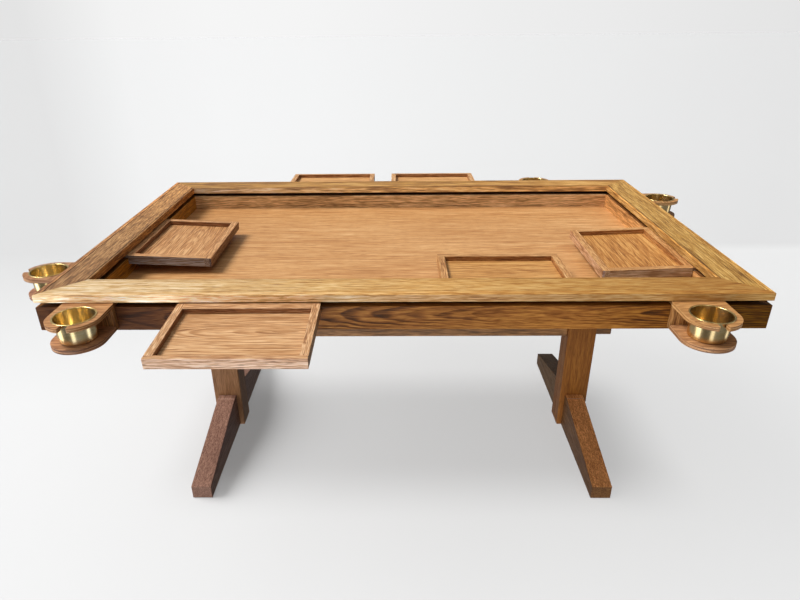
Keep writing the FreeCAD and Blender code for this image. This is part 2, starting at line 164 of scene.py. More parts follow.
def wood(name, grain, thick, cols, centre=(0, 0, 0), seed=1.0, coarse=0.16, mid=0.30, fine=0.24, cloud=0.16,
         wave=0.0020, pores=0.30, size=1.0, rings=0.0, ring=0.0055, pith=(0.0, -0.06), slope=0.0, warp=0.006,
         rough=0.46, bump=0.35, lift=0.0, crisp=0.0, swap=None, strips=None, after=None, edge=0.0, short=1.0, sheen=0.36):
    """Oiled wood with straight grain: streaks of three widths, pores, and rings where they are wanted.

    grain and thick are axis numbers; cols is (darkest, dark, middle, light). size widens the streaks and short
    shortens them; sheen is how much they shine. Rings are cylinders about a pith line along the grain, tilted by slope, so a flat face shows
    long arches. swap(shader, xyz) is 1 where the grain runs across instead; strips(shader, xyz) is 1 on
    glued-on strips with their own grain. edge draws fine lines around the vertical faces of flat boards.
    after(shader, colour, xyz) may tint the result. crisp is the depth of thin dark lines.
    """
    s = Shader(name)
    width = 3 - grain - thick
    p = [s.math("SUBTRACT", s.xyz[i], centre[i]) if centre[i] else s.xyz[i] for i in range(3)]
    u, v, t = p[grain], p[width], p[thick]
    if swap is not None:
        m = swap(s, s.xyz)
        u, v = s.mixf(m, u, v), s.mixf(m, v, s.math("ADD", u, 0.31))
        t = s.math("ADD", t, s.math("MULTIPLY", m, 0.021))
    if strips is not None:
        m = strips(s, s.xyz)
        v = s.math("ADD", v, s.math("MULTIPLY", m, 0.437))
        u = s.math("ADD", u, s.math("MULTIPLY", m, 1.71))
    w1 = s.wobble(s.scaled(u, v, t, 1.6, 4.0, 4.0, seed), warp, detail=1.0)
    w2 = s.wobble(s.scaled(u, v, t, 9.0, 24.0, 24.0, seed + 2.3), wave, detail=1.0)
    w3 = s.wobble(s.scaled(u, v, t, 27.0, 66.0, 66.0, seed + 3.1), wave * 0.45, detail=0.0)
    w = s.math("ADD", w2, w3)
    v1 = s.math("ADD", s.math("ADD", v, w1), w)
    t1 = s.math("MULTIPLY_ADD", w, 0.6, t)
    k, q = 1.0 / size, short
    broad = s.noise(s.scaled(u, v1, t1, 4.0 * q, 46.0 * k, 46.0 * k, seed + 1.0), detail=2.0, rough=0.55)
    middle = s.noise(s.scaled(u, v1, t1, 9.0 * q, 118.0 * k, 118.0 * k, seed + 4.0), detail=2.0, rough=0.60)
    thin = s.noise(s.scaled(u, v1, t1, 24.0 * q, 330.0 * k, 330.0 * k, seed + 6.0), detail=1.0, rough=0.60)
    dash = s.noise(s.scaled(u, v1, t1, 30.0, 460.0, 460.0, seed + 8.0), detail=1.0, rough=0.5)
    patch = s.noise(s.scaled(u, v, t, 2.2, 8.0, 8.0, seed + 9.0), detail=2.0)
    pore = s.span(dash, 0.57, 0.66)

    value = s.math("MULTIPLY_ADD", s.math("SUBTRACT", s.span(broad, 0.32, 0.68), 0.5), coarse, 0.5 + lift)
    value = s.math("MULTIPLY_ADD", s.math("SUBTRACT", s.span(middle, 0.33, 0.67), 0.5), mid, value)
    value = s.math("MULTIPLY_ADD", s.math("SUBTRACT", s.span(thin, 0.38, 0.62), 0.5), fine, value)
    value = s.math("MULTIPLY_ADD", s.math("SUBTRACT", patch, 0.5), 2.0 * cloud, value)
    if crisp:
        hair = s.noise(s.scaled(u, v1, t1, 15.0, 215.0, 215.0, seed + 12.0), detail=2.0, rough=0.6)
        value = s.math("MULTIPLY_ADD", s.span(hair, 0.55, 0.62), -crisp, value)
    if rings:
        dv = s.math("SUBTRACT", v1, pith[0])
        dt = s.math("SUBTRACT", t1, pith[1])
        dt = s.math("ADD", dt, s.math("MULTIPLY", u, slope)) if slope else dt
        dt = s.math("ADD", dt, s.wobble(s.scaled(u, v, t, 3.1, 9.0, 9.0, seed + 5.1), warp * 0.6, detail=1.0))
        radius = s.math("SQRT", s.math("ADD", s.math("MULTIPLY", dv, dv), s.math("MULTIPLY", dt, dt)))
        uneven = s.wobble(s.vec(s.math("MULTIPLY", radius, 42.0), seed * 1.7, s.math("MULTIPLY", u, 0.6)), 1.1,
                          detail=1.0)
        f = s.math("FRACT", s.math("ADD", s.math("DIVIDE", radius, ring), uneven))
        late = s.math("MULTIPLY", s.span(f, 0.15, 0.80), s.span(f, 0.86, 1.0, 1.0, 0.0))
        strong = s.span(s.noise(s.vec(s.math("MULTIPLY", radius, 60.0), s.math("MULTIPLY", u, 2.5), seed),
                                detail=1.0), 0.35, 0.65, 0.2, 1.0)
        value = s.math("MULTIPLY_ADD", s.math("SUBTRACT", s.math("MULTIPLY", late, strong), 0.3), -rings, value)
    if edge:
        side = s.span(s.math("ABSOLUTE", s.normal()[2]), 0.35, 0.75, 1.0, 0.0)
        lines = s.noise(s.scaled(s.xyz[X], s.xyz[Y], s.xyz[Z], 7.0, 7.0, 520.0, seed + 2.0), detail=2.0, rough=0.6)
        lines = s.math("MULTIPLY_ADD", s.math("SUBTRACT", s.span(lines, 0.36, 0.64), 0.5), edge, 0.5 + lift)
        value = s.mixf(side, value, lines)
    colour = s.ramp(value, [(0.06, cols[0]), (0.32, cols[1]), (0.56, cols[2]), (0.88, cols[3])])
    colour = s.mix(s.math("MULTIPLY", pore, pores), colour, cols[0])
    if after is not None:
        colour = after(s, colour, s.xyz)
    s.put(s.bsdf.inputs["Base Color"], colour)
    s.put(s.bsdf.inputs["Roughness"], s.math("ADD", s.math("MULTIPLY", s.math("SUBTRACT", broad, 0.5), -0.22),
                                             s.math("MULTIPLY_ADD", pore, 0.18, rough)))
    s.bsdf.inputs["Specular IOR Level"].default_value = sheen
    s.bsdf.inputs["IOR"].default_value = 1.46
    height = s.math("ADD", s.math("MULTIPLY", thin, 0.7), s.math("MULTIPLY", pore, -0.9))
    b = s.add("ShaderNodeBump")
    b.inputs["Strength"].default_value = bump
    b.inputs["Distance"].default_value = 0.0004
    s.put(b.inputs["Height"], height)
    s.put(s.bsdf.inputs["Normal"], b.outputs[0])
    return s.mat


def give(node, mat):
    o = nodes[node]
    if not o.material_slots:
        o.data.materials.append(mat)
    for slot in o.material_slots:
        slot.material = mat


# ---------------------------------------------------------------- edges: weld the import, ease the arrises, smooth
def smooth_group():
    g = bpy.data.node_groups.new("weld_and_smooth", "GeometryNodeTree")
    g.interface.new_socket("Geometry", in_out="INPUT", socket_type="NodeSocketGeometry")
    g.interface.new_socket("Geometry", in_out="OUTPUT", socket_type="NodeSocketGeometry")
    a, z = g.nodes.new("NodeGroupInput"), g.nodes.new("NodeGroupOutput")
    weld, soft = g.nodes.new("GeometryNodeMergeByDistance"), g.nodes.new("GeometryNodeSetShadeSmooth")
    weld.inputs["Distance"].default_value = 0.000004
    g.links.new(a.outputs[0], weld.inputs[0])
    g.links.new(weld.outputs[0], soft.inputs[0])
    g.links.new(soft.outputs[0], z.inputs[0])
    return g


WELD = smooth_group()


def ease(node, width, segments=3, angle=30.0, clamp=False):
    o = nodes[node]
    m = o.modifiers.new("weld", "NODES")
    m.node_group = WELD
    b = o.modifiers.new("arris", "BEVEL")
    b.width, b.segments, b.limit_method, b.angle_limit = width, segments, "ANGLE", math.radians(angle)
    b.use_clamp_overlap = clamp
    b.miter_outer = "MITER_SHARP"
    n = o.modifiers.new("normals", "WEIGHTED_NORMAL")
    n.mode, n.weight, n.keep_sharp = "FACE_AREA", 60, False


# ---------------------------------------------------------------- rim
def d_from_edge(s, xyz, side):
    """Distance inward from the rim's outer edge."""
    if side == "front":
        return s.math("ADD", xyz[Y], HALF_W)
    if side == "back":
        return s.math("SUBTRACT", HALF_W, xyz[Y])
    if side == "left":
        return s.math("ADD", xyz[X], HALF_L)
    return s.math("SUBTRACT", HALF_L, xyz[X])


def rail_look(side, outer, inner, outer_face_shading, inner_face_shading, stops, line_out, line_in):
    """Strips beyond the fine lines; the lines themselves, darkened as painted shade; the edge faces, tinted lighter or
    darker as painted light and shade; and a tone that drifts along the rail, partly painted light on the front rail.
    """
    def strips(s, xyz):
        return s.math("LESS_THAN", d_from_edge(s, xyz, side), LINE_OUT)

    def after(s, colour, xyz):
        d = d_from_edge(s, xyz, side)
        along = xyz[X] if side in ("front", "back") else xyz[Y]
        # the tone drifting along the rail; on the front rail it is partly the wood's tone and partly painted light
        colour = s.along(colour, along, stops)
        top = s.math("GREATER_THAN", xyz[Z], TOP - 0.0030)
        colour = s.mix(s.math("MULTIPLY", top, s.math("LESS_THAN", d, LINE_OUT)), colour, outer, "MULTIPLY")
        colour = s.mix(s.math("MULTIPLY", top, s.math("GREATER_THAN", d, RAIL_W - LINE_IN)), colour, inner, "MULTIPLY")
        # painted shade: the two fine lines on the top are darkened as shaded grooves
        for at, strength in ((LINE_OUT, line_out), (RAIL_W - LINE_IN, line_in)):
            colour = s.mix(s.math("MULTIPLY", s.math("MULTIPLY", s.band(d, at, 0.0007, 0.0016), strength), top),
                           colour, rgb("#24130a"))
        # painted light and shade: the outer and inner edge faces get their own tints, lighter or darker than the top
        sides = s.math("LESS_THAN", s.math("ABSOLUTE", s.normal()[2]), 0.4)
        if isinstance(outer_face_shading, list):
            faced = s.along(colour, along, outer_face_shading)
            colour = s.mix(s.math("MULTIPLY", sides, s.math("LESS_THAN", d, 0.0016)), colour, faced)
        else:
            colour = s.mix(s.math("MULTIPLY", sides, s.math("LESS_THAN", d, 0.0016)), colour, outer_face_shading, "MULTIPLY")
        well = s.math("MULTIPLY", sides, s.math("GREATER_THAN", d, RAIL_W - 0.0016))
        if isinstance(inner_face_shading, list):
            colour = s.mix(well, colour, s.along(colour, along, inner_face_shading))
        else:
            colour = s.mix(well, colour, inner_face_shading, "MULTIPLY")
        return colour
    return strips, after


GOLD = (rgb("#855628"), rgb("#b4803d"), rgb("#d4a35c"), rgb("#f0cf92"))
RICH = (rgb("#5f3e1a"), rgb("#986c34"), rgb("#c79749"), rgb("#f0c97f"))
BROWN = (rgb("#4a2e17"), rgb("#7a542e"), rgb("#a87b4c"), rgb("#dcb27a"))

# front rail: top and front face painted lighter and whiter at the left end and darker to the right, as painted light
# and sheen
st, af = rail_look("front", tint(1.05, 1.0, 0.93), tint(0.96, 0.92, 0.85),
                   [(-0.90, tint(2.21, 2.55, 3.25)), (-0.55, tint(1.94, 2.16, 2.78)), (0.0, tint(1.09, 1.05, 1.26)),
                    (0.52, tint(1.155, 1.23, 1.70)), (0.90, tint(1.295, 1.39, 1.73))], tint(0.8, 0.75, 0.7),
                   [(-0.90, tint(1.01, 1.25, 2.07)), (-0.70, tint(1.01, 1.23, 1.99)), (-0.20, tint(0.92, 0.98, 1.16)),
                    (0.10, tint(0.89, 0.875, 0.865)), (0.45, tint(0.683, 0.617, 0.48)), (0.90, tint(0.542, 0.44, 0.277))],
                   0.10, 0.30)
give("rail_front", wood("rail_front", X, Z, GOLD, centre=(0, -0.50, 0.75), seed=1.3, coarse=0.10, mid=0.20, fine=0.30, lift=0.065, crisp=0.22,
                        cloud=0.07, wave=0.0024, size=0.66, short=0.9, warp=0.004, strips=st, after=af, bump=0.25))
st, af = rail_look("back", tint(1.0, 0.97, 0.92), tint(0.85, 0.80, 0.72), tint(1, 1, 1),
                   [(-0.75, tint(1.83, 2.62, 6.4)), (0.0, tint(2.24, 3.10, 6.0)), (0.75, tint(1.94, 2.45, 4.2))],
                   [(-0.9, tint(0.82, 0.765, 0.80)), (0.9, tint(0.86, 0.765, 0.72))], 0.4, 0.4)
give("rail_back", wood("rail_back", X, Z, RICH, centre=(0, 0.50, 0.75), seed=4.1, coarse=0.18, mid=0.30, size=1.4,
                       short=0.7, cloud=0.14, strips=st, after=af))
st, af = rail_look("left", tint(1.20, 1.06, 0.94), tint(0.95, 0.86, 0.66), tint(0.7, 0.6, 0.5), tint(1.15, 1.02, 0.72),
                   [(-0.55, tint(0.78, 0.74, 0.74)), (-0.20, tint(0.86, 0.82, 0.78)), (0.50, tint(1.40, 1.26, 1.04))],
                   0.72, 0.85)
give("rail_left", wood("rail_left", Y, Z, BROWN, centre=(-0.85, 0, 0.75), seed=7.7, coarse=0.12, mid=0.34, fine=0.34,
                       cloud=0.14, wave=0.0022, size=0.55, short=1.6, pores=0.5, strips=st, after=af))
st, af = rail_look("right", tint(1.18, 1.10, 0.98), tint(1.10, 0.94, 0.78), tint(0.5, 0.42, 0.3), tint(1.02, 1.0, 1.18),
                   [(-0.55, tint(0.80, 0.78, 0.74)), (0.10, tint(0.86, 0.84, 0.82)), (0.50, tint(0.92, 0.89, 0.86))],
                   0.30, 0.75)
give("rail_right", wood("rail_right", Y, Z, RICH, centre=(0.85, 0, 0.75), seed=11.9, coarse=0.10, mid=0.30, fine=0.36, lift=0.05, crisp=0.16,
                        cloud=0.06, wave=0.0014, size=0.62, short=0.7, strips=st, after=af))

# ---------------------------------------------------------------- apron, inner walls, core
APRON = (rgb("#2a1707"), rgb("#5c3714"), rgb("#905a26"), rgb("#c48a42"))
SPOTS = {"front": (0.12, -0.535, 0.70), "back": (0, 0.535, 0.70), "left": (-0.88, 0, 0.70), "right": (0.88, 0, 0.70)}
for k, (side, grain, thick) in enumerate((("front", X, Y), ("back", X, Y), ("left", Y, X), ("right", Y, X))):
    def apron_end_shade(s, colour, xyz, side=side):
        # painted shade: the front apron is darkened at both ends, beside the holders and the front tray
        if side == "front":
            colour = s.along(colour, xyz[X], [(-0.90, tint(0.29, 0.235, 0.28)), (-0.62, tint(0.31, 0.245, 0.30)),
                                              (-0.45, tint(0.58, 0.50, 0.58)), (-0.15, tint(0.92, 0.88, 0.97)),
                                              (0.45, tint(1.0, 0.92, 0.84)), (0.62, tint(0.74, 0.66, 0.44)),
                                              (0.82, tint(0.40, 0.37, 0.11)), (0.90, tint(0.36, 0.33, 0.08))])
        return colour
    give("apron_" + side, wood("apron_" + side, grain, thick, APRON, centre=SPOTS[side], seed=14.0 + 3 * k,
                               coarse=0.08, mid=0.14, fine=0.22, cloud=0.22, wave=0.0036, warp=0.016, size=0.7,
                               short=1.0, rings=0.38, ring=0.0046, pith=(0.004, 0.030), slope=0.055, lift=0.10, sheen=0.14, after=apron_end_shade))
WALL = (rgb("#5a3a20"), rgb("#8f6339"), rgb("#bd8753"), rgb("#dfac75"))
# painted light and shade: one wall wood, tinted by the side each wall faces
WALL_SIDE_LIGHT = {"front": tint(0.8, 0.8, 0.8), "back": tint(1.48, 1.93, 2.58), "left": tint(0.98, 0.90, 0.32),
              "right": tint(1.15, 1.14, 1.05)}
for k, (side, grain, thick) in enumerate((("front", X, Y), ("back", X, Y), ("left", Y, X), ("right", Y, X))):
    def wall_painted_light(s, colour, xyz, side=side):
        colour = s.mix(1.0, colour, WALL_SIDE_LIGHT[side], "MULTIPLY")
        # painted shade: the walls' top faces, under the rail, are darkened
        up = s.math("GREATER_THAN", s.normal()[2], 0.9)
        return s.mix(up, colour, tint(0.45, 0.38, 0.34), "MULTIPLY")
    give("wall_" + side, wood("wall_" + side, grain, thick, WALL, centre=(0, 0, 0.70), seed=31.0 + 2 * k, coarse=0.12,
                              mid=0.20, fine=0.30, cloud=0.32, wave=0.0040, warp=0.010, size=0.9, short=0.8, sheen=0.2,
                              after=wall_painted_light))
CORE = (rgb("#1d140e"), rgb("#2c1f15"), rgb("#3b2a1d"), rgb("#4d3828"))
core = wood("core_black", X, Z, CORE, rough=0.6, seed=3.0)
give("core_plates", core)
give("core_ridges", core)
give("rail_splines", wood("spline", X, Z, GOLD, seed=5.0))

# ---------------------------------------------------------------- play floor and trestle
FLOOR = (rgb("#8c5e35"), rgb("#b1804d"), rgb("#c89962"), rgb("#dfb984"))


def floor_after(s, colour, xyz):
    return s.mix(1.0, colour, tint(1.02, 0.955, 0.95), "MULTIPLY")


give("play_floor", wood("play_floor", X, Z, FLOOR, centre=(0.1, 0.05, 0.68), seed=21.0, coarse=0.12, mid=0.20, fine=0.32, lift=0.03, crisp=0.10,
                        cloud=0.18, wave=0.0012, warp=0.008, size=0.85, short=0.45, pores=0.40, rough=0.42, bump=0.2,
                        after=floor_after))
LEG_L = (rgb("#482e1e"), rgb("#734e33"), rgb("#966c49"), rgb("#b88d65"))
LEG_R = (rgb("#3a1f0a"), rgb("#623715"), rgb("#845120"), rgb("#a67030"))
FOOT_L = (rgb("#452c23"), rgb("#69493c"), rgb("#8a6656"), rgb("#ad8874"))
FOOT_R = (rgb("#301c0f"), rgb("#503219"), rgb("#6b4828"), rgb("#896239"))
for k, side in enumerate(("left", "right")):
    sx = -1 if side == "left" else 1
    leg, shoe = (LEG_L, FOOT_L) if side == "left" else (LEG_R, FOOT_R)

    def foot_painted_light(s, colour, xyz, side=side):
        """A pale line where each slope starts, a painted highlight on the arris; the right foot's upper faces at the
        front are painted lighter than its sides, as painted light, and its rear half is darker.
        """
        if side == "right":
            # painted light: the right foot's upper faces at the front are lightened about fourfold; its rear half is
            # darker
            upper = s.span(s.normal()[2], 0.55, 0.85)
            front = s.math("LESS_THAN", xyz[Y], 0.0)
            colour = s.mix(s.math("MULTIPLY", upper, front), colour, tint(4.0, 3.9, 4.1), "MULTIPLY")
            colour = s.mix(s.math("SUBTRACT", 1.0, front), colour, tint(0.80, 0.84, 0.60), "MULTIPLY")
        # painted highlight: a pale line along the arris where each slope starts
        at = s.math("ABSOLUTE", xyz[Y])
        top = s.math("GREATER_THAN", xyz[Z], 0.1285)
        return s.mix(s.math("MULTIPLY", s.math("MULTIPLY", s.band(at, 0.0655, 0.0009, 0.0012), top), 0.7), colour,
                     rgb("#b49482"))
    give("bearer_" + side, wood("bearer_" + side, Y, Z, LEG_R, centre=(sx * 0.623, 0, 0.64), seed=41.0 + k))
    give("post_" + side, wood("post_" + side, Z, Y, leg, centre=(sx * 0.623, -0.04, 0.3), seed=45.0 + 3 * k,
                              coarse=0.08, mid=0.08, fine=0.17, size=0.6, short=0.8, wave=0.0016,
                              sheen=0.16))
    give("foot_" + side, wood("foot_" + side, Y, Z, shoe, centre=(sx * 0.623, 0, 0.10), seed=52.0 + 5 * k,
                              coarse=0.10, mid=0.14, fine=0.26, cloud=0.14, size=0.6, short=0.8, sheen=0.18, after=foot_painted_light))
STRETCH = (rgb("#3a240f"), rgb("#644221"), rgb("#875b30"), rgb("#ab7c49"))
give("stretcher", wood("stretcher", X, Y, STRETCH, centre=(0, 0, 0.41), seed=61.0))
give("stretcher_wedges", wood("wedges", Y, Z, STRETCH, centre=(0, 0, 0.41), seed=63.0))

# ---------------------------------------------------------------- trays
PANEL = (rgb("#865730"), rgb("#b5804b"), rgb("#d6a066"), rgb("#f2c78e"))
RIM = (rgb("#7d5231"), rgb("#ad7b4d"), rgb("#d09d69"), rgb("#ecc594"))
# tints: panel, rim, painted light on the faces to the front, painted light and shade on the outward end, painted shade
# on the faces of the recess; then ring and streak strength of the panel
TRAY_LOOK = {
    "front": (tint(0.84, 0.86, 1.0), tint(0.88, 0.88, 0.96), tint(1.56, 1.79, 2.46), tint(1, 1, 1),
              tint(0.62, 0.52, 0.46), 0.34, 0.16),
    "back_left": (tint(1, 1, 1), tint(1, 1, 1), tint(1, 1, 1), tint(1, 1, 1), tint(0.62, 0.52, 0.46), 0.10, 0.24),
    "back_right": (tint(1, 1, 1), tint(1, 1, 1), tint(1, 1, 1), tint(1, 1, 1), tint(0.62, 0.52, 0.46), 0.10, 0.24),
    "inner_left": (tint(0.80, 0.75, 0.76), tint(0.90, 0.84, 0.80), tint(0.52, 0.86, 1.9), tint(0.5, 0.5, 0.6),
                   tint(0.55, 0.46, 0.42), 0.40, 0.30),
    "inner_right": (tint(0.77, 0.66, 0.455), tint(0.86, 0.79, 0.66), tint(0.98, 1.42, 2.6), tint(1.0, 1.10, 1.6),
                    tint(0.70, 0.58, 0.46), 0.22, 0.38),
    "inner_front": (tint(0.83, 0.78, 0.62), tint(0.88, 0.82, 0.70), tint(1, 1, 1), tint(1, 1, 1),
                    tint(0.62, 0.50, 0.40), 0.10, 0.36)}
for k, (name, (side, inside, at)) in enumerate(TRAYS.items()):
    along, out = (X, Y) if side in ("front", "back") else (Y, X)
    edge = {"front": -HALF_W, "back": HALF_W, "left": -HALF_L, "right": HALF_L}[side]
    sign = {"front": -1, "back": 1, "left": -1, "right": 1}[side] * (-1 if inside else 1)
    first = (WALL_IN if inside else -0.0005) + 0.0018
    side_rim, front_rim, back_rim = INNER_RIM if inside else OUTER_RIM
    panel_tint, rim_tint, front_face_light_tint, end_face_light_tint, recess_shade_tint, ring_amt, streak = TRAY_LOOK[name]
    base = [0, 0, 0.725]
    base[along], base[out] = at, edge + sign * (first + 0.122)

    def cross(s, xyz, along=along, out=out, at=at, edge=edge, sign=sign, first=first, side_rim=side_rim,
              front_rim=front_rim):
        """1 on the two side rails, whose grain runs out from the table."""
        far = s.math("GREATER_THAN", s.math("ABSOLUTE", s.math("SUBTRACT", xyz[along], at)), TRAY_HALF - side_rim)
        go = s.math("MULTIPLY", s.math("SUBTRACT", xyz[out], edge), float(sign))
        a = s.math("GREATER_THAN", go, first)
        b = s.math("LESS_THAN", go, first + 0.244 - front_rim)
        return s.math("MULTIPLY", far, s.math("MULTIPLY", a, b))

    def panel_after(s, colour, xyz, panel_tint=panel_tint):
        return s.mix(1.0, colour, panel_tint, "MULTIPLY")

    def rim_after(s, colour, xyz, along=along, out=out, at=at, edge=edge, sign=sign, first=first, side_rim=side_rim,
                  front_rim=front_rim, rim_tint=rim_tint, front_face_light_tint=front_face_light_tint, end_face_light_tint=end_face_light_tint, recess_shade_tint=recess_shade_tint):
        go = s.math("MULTIPLY", s.math("SUBTRACT", xyz[out], edge), float(sign))
        upright = s.math("LESS_THAN", s.math("ABSOLUTE", s.normal()[2]), 0.6)
        colour = s.mix(1.0, colour, rim_tint, "MULTIPLY")
        # painted shade: the faces that look into the recess are a good deal darker
        in_a = s.math("LESS_THAN", s.math("ABSOLUTE", s.math("SUBTRACT", xyz[along], at)), TRAY_HALF - side_rim + 0.001)
        in_b = s.math("LESS_THAN", go, first + 0.244 - front_rim + 0.0005)
        inner = s.math("MULTIPLY", upright, s.math("MULTIPLY", in_a, s.math("MULTIPLY", in_b,
                                                                            s.math("GREATER_THAN", go, first + 0.008))))
        outer = s.math("SUBTRACT", 1.0, inner)
        # painted light and shade: faces to the front are lightened, and the outward ends are lightened or darkened
        near = s.math("MULTIPLY", outer, s.span(s.normal()[1], -0.75, -0.45, 1.0, 0.0))
        end = s.math("MULTIPLY", outer, s.math("MULTIPLY", s.span(go, first + 0.236, first + 0.239), upright))
        if out == X:
            colour = s.mix(end, colour, end_face_light_tint, "MULTIPLY")
        colour = s.mix(near, colour, front_face_light_tint, "MULTIPLY")
        return s.mix(inner, colour, recess_shade_tint, "MULTIPLY")
    give("tray_%s_panel" % name, wood("tray_%s_panel" % name, along, Z, PANEL, centre=tuple(base), seed=70.0 + 4 * k,
                                      coarse=0.12, mid=streak, fine=0.32, cloud=0.12, wave=0.0020, size=0.75, short=0.7,
                                      rings=ring_amt, ring=0.0060, pith=(0.01, -0.022), slope=0.12 if k % 2 else -0.14,
                                      warp=0.007, after=panel_after))
    give("tray_%s_rim" % name, wood("tray_%s_rim" % name, along, Z, RIM, centre=tuple(base), seed=90.0 + 3 * k,
                                    coarse=0.10, mid=0.26, fine=0.42, pores=0.6, size=0.6, short=0.9, swap=cross,
                                    after=rim_after))
    ease("tray_%s_rim" % name, 0.0006)

# ---------------------------------------------------------------- cup holders
RING = (rgb("#6d4324"), rgb("#98683a"), rgb("#ba8750"), rgb("#dbae76"))
BACK = (rgb("#5a3a1e"), rgb("#85592f"), rgb("#ac7a45"), rgb("#d0a068"))
BASE = (rgb("#553724"), rgb("#865b3b"), rgb("#af7d53"), rgb("#d8a87a"))
HOLDER_TINT = {"left_side": tint(0.84, 0.80, 1.0), "front_left": tint(0.96, 0.92, 1.0)}
for k, (name, (side, at)) in enumerate(HOLDERS.items()):
    along, out = (X, Y) if side in ("front", "back") else (Y, X)

    def holder_after(s, colour, xyz, name=name):
        return s.mix(1.0, colour, HOLDER_TINT.get(name, tint(1, 1, 1)), "MULTIPLY")
    c = [0, 0, 0.70]
    c[along] = at
    for j, (piece, cols) in enumerate((("ring", RING), ("back", BACK), ("base", BASE))):
        grain = Z if piece == "back" else along
        give("holder_%s_%s" % (name, piece),
             wood("holder_%s_%s" % (name, piece), grain, out if piece == "back" else Z, cols, centre=tuple(c),
                  coarse=0.10, mid=0.20, fine=0.36, pores=0.5, size=0.55, short=1.0, seed=110.0 + 5 * k + j,
                  edge=0.0 if piece == "back" else 0.75, after=holder_after))
        ease("holder_%s_%s" % (name, piece), 0.0006, segments=2, clamp=piece == "ring")


def brass():
    s = Shader("cup_brass")
    turned = s.noise(s.scaled(s.xyz[X], s.xyz[Y], s.xyz[Z], 6.0, 6.0, 900.0, 2.0), detail=3.0, rough=0.7)
    smear = s.noise(s.scaled(s.xyz[X], s.xyz[Y], s.xyz[Z], 30.0, 30.0, 22.0, 5.0), detail=3.0)
    body = s.ramp(s.math("ADD", s.math("MULTIPLY", turned, 0.4), s.math("MULTIPLY", smear, 0.6)),
                  [(0.30, rgb("#cfb576")), (0.50, rgb("#e2cc98")), (0.72, rgb("#f1e4c2"))])
    # painted light: cups on the left are made brighter and those on the right darker and warmer
    body = s.along(body, s.xyz[X], [(-0.90, tint(1.10, 1.12, 1.14)), (0.0, tint(1.0, 1.0, 1.0)), (0.80, tint(0.84, 0.77, 0.66))])
    # painted highlight: the lip above the ring is a paler cream
    s.put(s.bsdf.inputs["Base Color"], s.mix(s.math("GREATER_THAN", s.xyz[Z], 0.7392), body, rgb("#ecd596")))
    s.bsdf.inputs["Metallic"].default_value = 1.0
    s.put(s.bsdf.inputs["Roughness"], s.math("MULTIPLY_ADD", turned, 0.10, s.math("MULTIPLY_ADD", smear, 0.08, 0.14)))
    s.bsdf.inputs["Anisotropic"].default_value = 0.70
    s.bsdf.inputs["Anisotropic Rotation"].default_value = 0.25
    tan = s.add("ShaderNodeTangent", direction_type="RADIAL", axis="Z")
    s.put(s.bsdf.inputs["Tangent"], tan.outputs[0])
    b = s.add("ShaderNodeBump")
    b.inputs["Strength"].default_value = 0.08
    b.inputs["Distance"].default_value = 0.0002
    s.put(b.inputs["Height"], turned)
    s.put(s.bsdf.inputs["Normal"], b.outputs[0])
    return s.mat


BRASS = brass()
for name in HOLDERS:
    give("cup_" + name, BRASS)


def steel():
    s = Shader("fastener_steel")
    n = s.noise(s.scaled(s.xyz[X], s.xyz[Y], s.xyz[Z], 260.0, 260.0, 260.0), detail=3.0)
    s.put(s.bsdf.inputs["Base Color"], s.ramp(n, [(0.3, rgb("#8d9093")), (0.7, rgb("#b9bcc0"))]))
    s.put(s.bsdf.inputs["Roughness"], s.span(n, 0.3, 0.7, 0.28, 0.45))
    s.bsdf.inputs["Metallic"].default_value = 1.0
    return s.mat


def felt():
    s = Shader("glide_felt")
    n = s.noise(s.scaled(s.xyz[X], s.xyz[Y], s.xyz[Z], 900.0, 900.0, 900.0), detail=4.0, rough=0.7)
    s.put(s.bsdf.inputs["Base Color"], s.ramp(n, [(0.3, rgb("#241f1b")), (0.7, rgb("#463d35"))]))
    s.put(s.bsdf.inputs["Roughness"], s.span(n, 0.3, 0.7, 0.85, 1.0))
    b = s.add("ShaderNodeBump")
    b.inputs["Strength"].default_value = 0.8
    b.inputs["Distance"].default_value = 0.0006
    s.put(b.inputs["Height"], n)
    s.put(s.bsdf.inputs["Normal"], b.outputs[0])
    return s.mat


STEEL = steel()
for name in ("rail_screws", "bearer_screws", "leg_bolts"):
    give(name, STEEL)
give("foot_glides", felt())

for name, wide in (("post_left", 0.0007), ("post_right", 0.0007), ("foot_left", 0.0014), ("foot_right", 0.0014),
                   ("stretcher", 0.0010), ("stretcher_wedges", 0.0008), ("bearer_left", 0.0010),
                   ("bearer_right", 0.0010)):
    ease(name, wide)

# ---------------------------------------------------------------- floor, light, camera
FLOOR_LIGHT, WORLD_LOW, WORLD_HIGH, BOX = 0.760, 0.04, 0.64, 2.6
# backdrop brightness from left to right, as (sideways over forward distance, level)
BACKDROP = ((-0.56, 0.775), (-0.50, 0.825), (-0.42, 0.895), (-0.28, 0.918), (-0.13, 0.91), (0.02, 0.88), (0.17, 0.85),
            (0.31, 0.83), (0.46, 0.80), (0.62, 0.775))
CAM_Y = -1.88216
bpy.ops.mesh.primitive_plane_add(size=80.0, location=(0, 0, 0))
ground = bpy.context.object
ground.name = "studio_floor"
ground.visible_diffuse = False
ground.visible_glossy = False
ground.visible_shadow = False
fl = Shader("studio_floor")
fl.tree.nodes.remove(fl.bsdf)
